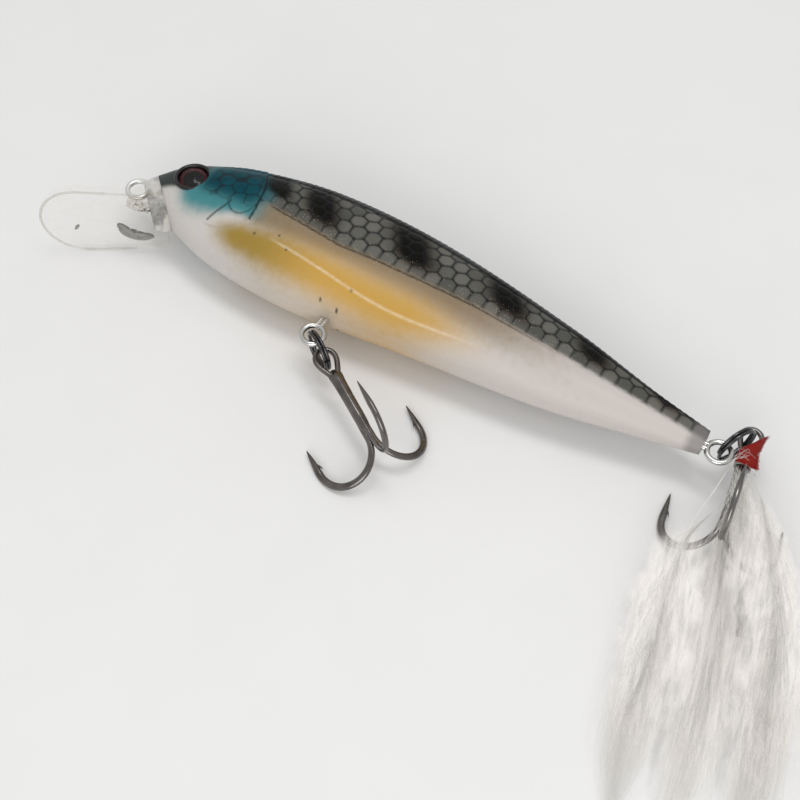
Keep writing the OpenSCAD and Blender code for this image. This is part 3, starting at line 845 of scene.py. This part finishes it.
def cut_outline(count):
    """Outline of the head's cut face, in the lure's own axes."""
    c, s = cos(CUT_SLOPE), sin(CUT_SLOPE)
    share = 0.5 - 0.5 * np.cos(np.linspace(0, pi, count))
    ends = []
    for guess in np.linspace(-1, 14, 301):
        x, y = CUT_TOP[0] + guess * c, CUT_TOP[1] + guess * s
        if x > 0.02 and along(x, 2) < y < along(x, 1):
            ends.append(guess)
    d = ends[0] + (ends[-1] - ends[0]) * share
    x, y = CUT_TOP[0] + d * c, CUT_TOP[1] + d * s
    top, low, half = along(x, 1), along(x, 2), along(x, 3)
    v = np.clip(np.abs((y - (top + low) / 2) / ((top - low) / 2)), 0, 1)
    z = half * (1 - v ** SECTION_POWER) ** (1 / SECTION_POWER)
    loop = [(a, b, h) for a, b, h in zip(x, y, z)] + [(a, b, -h) for a, b, h in zip(x, y, z)][-2:0:-1]
    return np.array(loop)


def root_flange(material):
    """Clear flange of the lip's root that sits on the head's cut face."""
    loop = cut_outline(40)
    centre = loop.mean(0)
    ahead = np.array([sin(CUT_SLOPE), -cos(CUT_SLOPE), 0])
    rings = []
    for scale, forward in ((0.985, 0.05), (0.96, 1.0), (0.90, 2.4), (0.76, 2.7), (0.70, 2.3), (0.72, 0.05)):
        rings.append(rows(centre + (q - centre) * scale + ahead * forward for q in loop))
    skin = Skin()
    skin.loft(rings, closed=True)
    piece = skin.piece("root_flange", "lure_body", "clear_lip", material)
    store(piece, "soft", np.ones(len(skin.points)))


SMEAR_SIDES = 14
RIM_SIDES = 10


def soft_sides(sides, count):
    """How solid each point of a flattened tube is: fading to nothing at its two edges."""
    return [1 - cos(a) ** 2 for a in turns(sides)] * count


def smear(name, path, wide, flat, material):
    """A soft smear along a path in the lure's own axes, facing the blade's side."""
    skin = Skin()
    fine = smooth_path(path, 6)
    share = np.linspace(0, 1, len(fine))
    swell = 0.25 + 0.75 * np.sin(pi * share) ** 0.6
    skin.tube(rows(fine), wide * swell, sides=SMEAR_SIDES, up=BLADE_NORMAL, flat=flat)
    piece = skin.piece(name, "lure_body", "clear_lip", material)
    store(piece, "soft", soft_sides(SMEAR_SIDES, len(fine)))


def glue_cracks(material):
    """Fine dark curls trapped in the glue."""
    draw = random.Random(3).uniform
    skin = Skin()
    for _ in range(9):
        at = np.array([2.3 + draw(-1.0, 1.2), -6.4 + draw(-0.6, 0.6), 2.9 + draw(-1.2, 1.0)])
        turn, radius = draw(0, 6.3), draw(0.3, 0.7)
        path = rows(at + radius * np.array([0.87 * cos(a), 0.48 * cos(a), sin(a)])
                    for a in (turn + 0.4 * k for k in range(8)))
        skin.tube(path, np.linspace(0.09, 0.03, 8), sides=6, up=BLADE_NORMAL)
    skin.piece("glue_cracks", "lure_body", "clear_lip", material)


def blade_rim(material):
    """The rounded edge of the blade on the side that faces the camera: the plastic's tint seen edge-on, with
    the light and dark lines of refraction along it painted in.
    """
    ahead = np.array([-cos(LIP_ANGLE), -sin(LIP_ANGLE), 0])
    out = np.array([sin(LIP_ANGLE), -cos(LIP_ANGLE), 0])
    tip = LIP_WIDTH / 2
    straight = LIP_LEN - tip * 0.92
    outline = [(u, tip - 0.7 + 0.7 * u / straight) for u in np.linspace(4.6, straight, 14)[:-1]]
    outline += [(straight + tip * 0.92 * cos(a), tip * sin(a))
                for a in np.linspace(pi / 2, -pi / 2, 33)]
    outline += [(u, -(tip - 0.7 + 0.7 * u / straight)) for u in np.linspace(straight, 5.5, 14)[1:]]
    skin = Skin()
    root = np.array([*LIP_ROOT, 0])
    path = rows(root + ahead * u + out * 0.72 + np.array([0, 0, w]) for u, w in outline)
    skin.tube(path, 0.30, sides=RIM_SIDES, up=tuple(out), flat=0.5)
    piece = skin.piece("blade_rim", "lure_body", "clear_lip", material)
    store(piece, "soft", soft_sides(RIM_SIDES, len(path)))


def eye_rim(side, material):
    """Dark rim that frames the domed eye."""
    skin = Skin()
    path = rows((EYE_AT[0] + EYE_RIM_RADIUS * cos(a), EYE_AT[1] + EYE_RIM_RADIUS * sin(a),
                 side * (EYE_RIM_LEVEL + 0.28 * cos(a - 0.3) - 0.42 * sin(a)))
                for a in turns(48))
    skin.tube(path, 0.34, sides=10, closed=True)
    name = "eye_rim_left" if side > 0 else "eye_rim_right"
    skin.piece(name, "lure_body", "eye_foil", material)


# ---- Dressing ----

tail_eye_height = eye_height(TAIL_TILT)


def feather_stations(side):
    """[distance from the eye, sideways, height over the table, half width] of a feather's middle line."""
    e, full, narrow = tail_eye_height, FEATHER_WIDTH / 2, FEATHER_WIDTH / 2.4
    if side == 0:
        return [(5.8, 0, e - 2.3, 0.6), (10, 0.4, e - 3.0, 1.6), (20, 1.4, 1.7, 2.6),
                (34, 4.2, 1.4, full), (50, 5.2, 0.9, narrow), (FEATHER_LEN * 0.97, 5.4, 0.6, 0.8)]
    share, lift = (0.93, 0) if side < 0 else (1, 0.6)
    return [(5.9, side * 1.9 + 0.1, e + 0.1, 0.5), (10, side * 3.2 + 0.6, e + 0.5 + lift, 1.9),
            (20, side * 6.4 + 1.7, e + 0.6 + lift, 3.7), (34, side * 8.4 + 4.2, 3.4, full),
            (50, side * 9.0 + 5.4, 1.2, narrow), (FEATHER_LEN * share, side * 8.6 + 6.2, 0.6, 0.8)]


# How far down the plume each feather stays thin, so that the hooks show
BARE_ROOT = {-1: 0.30, 0: 0.16, 1: 0.15}


def table_axes():
    """From the plume's axes (distance, sideways, height over the table) to row millimetres."""
    at = tail_treble.translation.copy()
    at.z = 0
    return Matrix.Translation(at) @ Matrix.Rotation(radians(TAIL_DIR), 4, "Z")


def feather(name, side, material, strands):
    """A thin quill with long soft barbs that leave it and run with it."""
    rng = random.Random(11 + side)
    draw = rng.uniform
    line = smooth_path(feather_stations(side), 12)
    skin = Skin()
    quill = line[:int(len(line) * 0.8)]
    skin.tube(quill[:, :3], np.linspace(0.12, 0.04, len(quill)), sides=6)
    last = len(line) - 1
    steps = 8
    bare = BARE_ROOT[side]
    for _ in range(strands):
        root = bare + rng.random() ** 0.7 * (0.69 - bare)
        reach = draw(0.20, 0.50)
        wide = max(-1.4, min(1.4, rng.gauss(0, 0.62)))
        wave, phase = draw(0.05, 0.6), draw(0, 6.3)
        lift = rng.gauss(0, 0.4)
        path = []
        for k in range(steps + 1):
            t = k / steps
            u = min(root + reach * t, 1.0) * last
            i = min(int(u), last - 1)
            c = line[i] * (1 - u + i) + line[i + 1] * (u - i)
            spread = wide * c[3] * (1 - (1 - t) ** 1.6)
            curl = wave * t * sin(phase + 5 * t)
            over = max(0.0, reach + root - 1) * 30 * t * t
            gather = 1 - 0.55 * smooth(22, 12, c[0]) * (side < 0)
            path.append((c[0] + over * 0.4, (c[1] + spread) * gather + curl,
                         max(0.12, c[2] + (lift + 0.4 * sin(phase + 3 * t)) * t * min(1.2, c[2] * 0.5))))
        thick = draw(0.012, 0.026)
        skin.tube(path, np.linspace(thick, thick * 0.35, steps + 1), sides=3)
    piece = skin.piece(f"{name}_marabou", "tail_treble", "feather", material, table_axes())
    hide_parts(name)


def vane(name, stations, side, bare, material):
    """The feather's own soft blade, closed and thin, that the loose barbs lie on."""
    line = smooth_path(stations, 14)
    count = 32
    skin = Skin()
    rings, soft = [], []
    last = len(line) - 1
    for i, c in enumerate(line):
        fan = 1.12 + 0.10 * sin(0.9 * i + side) + 0.06 * sin(2.3 * i)
        wide = max(0.4, c[3] * fan)
        ends = smooth(bare * last, (bare + 0.22) * last, i) * smooth(last, 0.62 * last, i)
        ring = []
        for a in turns(count):
            across, up = cos(a), sin(a)
            ripple = 0.12 * sin(7 * across + side + 0.25 * i)
            ring.append((c[0], c[1] + wide * across, max(0.08, c[2] + 0.16 * up + ripple)))
            outer = 1 - 0.7 * smooth(0.1, 1.0, across * side) * smooth(22, 45, c[0])
            soft.append((1 - abs(across) ** 2.2) * ends * outer)
        rings.append(ring)
    skin.loft(rings)
    piece = skin.piece(f"{name}_vane", "tail_treble", "feather", material, table_axes())
    store(piece, "soft", soft)


WISP_STATIONS = ((6.6, 0.4, tail_eye_height + 1.5, 0.6), (11, 1.5, tail_eye_height + 1.6, 1.5),
                 (16, 3.3, tail_eye_height + 1.7, 2.4), (24, 5.0, tail_eye_height + 1.3, 3.0),
                 (32, 6.4, tail_eye_height, 2.6))


def veil(material):
    """Loose wisps that cross the shank and the bends of the hooks."""
    rng = random.Random(23)
    draw = rng.uniform
    skin = Skin()
    top = tail_eye_height + 1.5
    for _ in range(VEIL_FIBRES):
        start = draw(6.4, 13.0)
        out = rng.gauss(2.2, 3.2)
        reach = draw(6, 15)
        root = (start, draw(-1.2, 1.8), top + draw(0, 0.4))
        bend = (start + 0.45 * reach, 0.5 + 0.45 * out + draw(-0.8, 0.8), top + draw(0.1, 0.9))
        tip = (start + reach, 0.9 + out + draw(-1.0, 1.0), top + draw(-0.2, 0.9))
        thick = draw(0.012, 0.026)
        skin.tube(smooth_path([root, bend, tip], 5), np.linspace(thick, thick * 0.4, 11), sides=3)
    skin.piece("feather_veil", "tail_treble", "feather", material, table_axes())


def vane_look():
    """White down with streaks that run along the plume, thinning to nothing at the edges, with a faint
    painted glow.
    """
    look = Look("down", Roughness=0.9, Specular_IOR_Level=0.05)
    along_plume = (0, 0, -radians(TAIL_DIR + 6))
    inputs = (("Vector", look.coordinates), ("Rotation", along_plume))
    look.coordinates = look.add("Mapping", inputs).outputs[0]
    streaks = look.noise(1500, 4, (0.10, 1, 1))
    broad = look.noise(260, 3, (0.25, 1, 1))
    look.set(Base_Color=look.mix(broad, tint(248, 240, 233), tint(255, 254, 252)))
    barbs = look.span(look.step(streaks, 0.28, 0.66), 0.16, 0.50)
    cover = look.times(look.step(look.mask("soft"), 0.0, 0.85), barbs)
    look.set(Alpha=look.times(cover, look.span(broad, 0.75, 1.10)))
    # Painted light: a faint glow that lightens the down
    look.set(Emission_Color=(1.0, 0.95, 0.91, 1.0), Emission_Strength=0.07)
    return look.material


def tuft(red, white):
    """A fan of frayed red floss that opens to one side, with a few stray white fibres."""
    rng = random.Random(5)
    draw = rng.uniform
    skin = Skin()
    for _ in range(FLOSS_FIBRES):
        aim = rng.random()
        root = (4.5 + draw(-0.9, 1.0), -1.05 + draw(-0.3, 0.6), 1.35 + draw(0, 0.5))
        reach = draw(0.75, 1.04)
        end = (-0.2 + 6.5 * aim + draw(-0.2, 0.2),
               2.25 - 0.5 * sin(pi * aim) + draw(-0.15, 0.15))
        tip = (root[0] + (end[0] - root[0]) * reach, root[1] + (end[1] - root[1]) * reach,
               1.6 + draw(0, 0.6))
        mid = ((root[0] + tip[0]) / 2 + draw(-0.2, 0.3), (root[1] + tip[1]) / 2 + draw(-0.2, 0.1),
               1.75 + draw(0, 0.5))
        skin.tube(smooth_path([root, mid, tip], 3), np.linspace(0.10, 0.035, 7), sides=4)
    piece = skin.piece("red_floss_fan", "tail_treble", "red_floss", red, tail_treble)
    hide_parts("red_tuft")
    skin = Skin()
    for _ in range(STRAY_FIBRES):
        root = (5.6 + draw(-0.5, 1.0), -1.6 + draw(-0.5, 1.0), 2.2)
        mid = (root[0] - draw(0.6, 1.8), root[1] + draw(0.5, 1.6), 2.35 + draw(0, 0.2))
        tip = (mid[0] + draw(-1.0, 0.8), mid[1] + draw(0.2, 1.4), 2.2 + draw(0, 0.3))
        skin.tube(smooth_path([root, mid, tip], 5), np.linspace(0.030, 0.012, 11), sides=4)
    skin.piece("stray_fibres", "tail_treble", "feather", white, tail_treble)


def binding(material):
    """Turns of tying thread round the shank."""
    skin = Skin()
    steps = 20
    path = []
    for k in range(THREAD_TURNS * steps + 1):
        t = 2 * pi * k / steps
        path.append((2.95 + 2.6 * k / (THREAD_TURNS * steps), 1.22 * cos(t), 1.22 * sin(t)))
    skin.tube(path, 0.14, sides=8, up=(1, 0, 0))
    piece = skin.piece("thread_turns", "tail_treble", "thread", material, tail_treble)
    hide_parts("thread_binding")


# ---- Table, light and camera ----

ELEVATION = radians(58)
AZIMUTH = radians(30.26)
ROLL = radians(-0.3)
CAMERA_DISTANCE = 220
CAMERA_TARGET = (56.64, -15.88, 0)
CAMERA_LENS = 64.8
WORLD_STRENGTH = 0.62


def table_top():
    """Plain pale table with a faint mottle."""
    wide = 2000
    corners = [(-wide, -wide, 0), (wide, -wide, 0), (wide, wide, 0), (-wide, wide, 0)]
    table = mesh_object("table_top", corners, [(0, 1, 2, 3)])
    look = Look("pale_table", Roughness=0.8, Specular_IOR_Level=0.1)
    look.set(Base_Color=look.mix(look.noise(60, 3), (0.78, 0.777, 0.772), (0.82, 0.817, 0.812)))
    look.bump(look.noise(900, 2), 0.05, 0.00005)
    table.data.materials.append(look.material)


def area_light(name, at, aim, size, power):
    light = bpy.data.lights.new(name, "AREA")
    light.shape = "RECTANGLE"
    light.size, light.size_y = size
    light.energy = power
    lamp = bpy.data.objects.new(name, light)
    lamp.location = at
    lamp.rotation_euler = (Vector(aim) - Vector(at)).to_track_quat("-Z", "Y").to_euler()
    bpy.context.scene.collection.objects.link(lamp)


def light_scene():
    world = bpy.data.worlds.new("studio")
    bpy.context.scene.world = world
    world.use_nodes = True
    sky = world.node_tree.nodes["Background"]
    sky.inputs["Color"].default_value = (1, 1, 1, 1)
    sky.inputs["Strength"].default_value = WORLD_STRENGTH
    bpy.context.scene.view_settings.view_transform = "Standard"
    area_light("key", (0.02, 0.10, 0.50), (0.01, 0.0, 0.0), (0.36, 0.12), 0.75)
    area_light("fill", (0.16, -0.42, 0.24), (0.0, 0.0, 0.0), (0.40, 0.30), 1.0)


def camera():
    """Looks down past the belly at the photograph's angle."""
    data = bpy.data.cameras.new("camera")
    data.sensor_width = 36
    data.lens = CAMERA_LENS
    data.clip_start = 0.01
    thing = bpy.data.objects.new("camera", data)
    bpy.context.scene.collection.objects.link(thing)
    ahead = Vector((-sin(AZIMUTH) * cos(ELEVATION), cos(AZIMUTH) * cos(ELEVATION),
                    -sin(ELEVATION)))
    right = Vector((cos(AZIMUTH), sin(AZIMUTH), 0))
    up = right.cross(ahead)
    right, up = (right * cos(ROLL) + up * sin(ROLL), up * cos(ROLL) - right * sin(ROLL))
    at = (row(*CAMERA_TARGET) - ahead * CAMERA_DISTANCE) * MM
    thing.matrix_world = Matrix.Translation(at) @ Matrix((right, up, -ahead)).transposed().to_4x4()
    bpy.context.scene.camera = thing


# ---- The whole scene ----

camera()
light_scene()
table_top()

paint = paint_look()
for side in (1, -1):
    body_half(side, paint)

wire = metal_look("drawn_wire", (0.50, 0.50, 0.48), (0.72, 0.71, 0.69), 0.22)
black_nickel = metal_look("black_nickel", (0.05, 0.05, 0.052), (0.12, 0.12, 0.125), 0.16)
gunmetal = metal_look("gunmetal", tint(70, 66, 64), tint(140, 135, 132), 0.2)
tin = metal_look("tinned_hook", tint(84, 82, 80), tint(150, 147, 144), 0.22)
ballast = metal_look("ballast_steel", (0.35, 0.35, 0.36), (0.55, 0.55, 0.56), 0.3)
clear = clear_look()
lens = lens_look()


def finish_cad(node, material):
    frame["nodes"][node].data.materials.clear()
    frame["nodes"][node].data.materials.append(material)


bright = metal_look("bright_wire", (0.62, 0.62, 0.60), (0.86, 0.86, 0.84), 0.40)
for material, nodes in (
        (wire, ("belly_hanger", "tail_hanger")), (bright, ("line_tie",)), (clear, ("diving_lip",)),
        (ballast, ("chin_ballast", "belly_ballast", "casting_ball_front", "casting_ball_middle",
                   "casting_ball_rear")),
        (iris_look(1), ("left_eye_disc",)), (iris_look(-1), ("right_eye_disc",)),
        (lens, ("left_eye_lens", "right_eye_lens"))):
    for node in nodes:
        finish_cad(node, material)

# Painted glints and refracted shade: grey and white mottle in the clear flange of the root
flange = glue_look("flange_glints", tint(132, 130, 125), tint(226, 224, 219), 0.6, 330, (1, 1, 0.5))
brown = glue_look("glue_brown", tint(126, 108, 92), tint(196, 186, 174), 0.5)
# Painted shadow: a grey sheet in the clear root where the chin's shadow shows through it
shade = glue_look("painted_shade", tint(118, 118, 113), tint(136, 136, 131), 1.6)
# The plastic's tint seen edge-on, with painted lines of refraction along the blade's edge
edge = glue_look("edge_tint_and_refraction", tint(150, 144, 130), tint(190, 183, 168), 0.34, 170)
root_flange(flange)
smear("glue_bead", ((0.2, -7.3, 3.4), (1.2, -6.9, 4.1), (2.2, -6.3, 3.6), (2.9, -5.9, 2.6)), 1.5, 0.8, brown)
smear("painted_shade", ((-1.9, -8.5, -1.4), (-0.9, -8.0, -3.4), (0.9, -7.1, -4.4), (3.1, -6.0, -4.4)),
      1.25, 0.4, shade)
smear("blade_scratch", ((-7.3, -12.1, -1.1), (-7.8, -12.1, -2.0), (-8.4, -12.2, -3.0)), 0.34, 0.4, shade)
blade_rim(edge)
rubber = Look("rim_black", Roughness=0.25)
rubber.bump(rubber.noise(900, 3), 0.2, 0.00003)
rubber.set(Base_Color=rubber.mix(rubber.noise(700, 3), tint(10, 8, 8), tint(34, 26, 25)))
glue_cracks(rubber.material)
for side in (1, -1):
    eye_rim(side, rubber.material)

split_ring("belly", "belly_ring", black_nickel)
split_ring("tail", "tail_ring", black_nickel)
treble("belly", belly_treble, "belly_treble", gunmetal)
treble("tail", tail_treble, "tail_treble", tin)

marabou = fibre_look("marabou", tint(252, 249, 245), tint(255, 255, 253), sheer=0.15)
down = vane_look()
feather("feather_left", -1, marabou, 420)
vane("feather_left", feather_stations(-1), -1, BARE_ROOT[-1], down)
feather("feather_middle", 0, marabou, 420)
vane("feather_middle", feather_stations(0), 0, BARE_ROOT[0], down)
feather("feather_right", 1, marabou, 620)
veil(marabou)
vane("feather_wisp", WISP_STATIONS, 0, 0.05, down)
vane("feather_right", feather_stations(1), 1, BARE_ROOT[1], down)
tuft(fibre_look("red_floss", tint(158, 26, 18), tint(206, 46, 32)), marabou)
binding(fibre_look("tying_thread", (0.55, 0.48, 0.44), (0.75, 0.70, 0.66)))
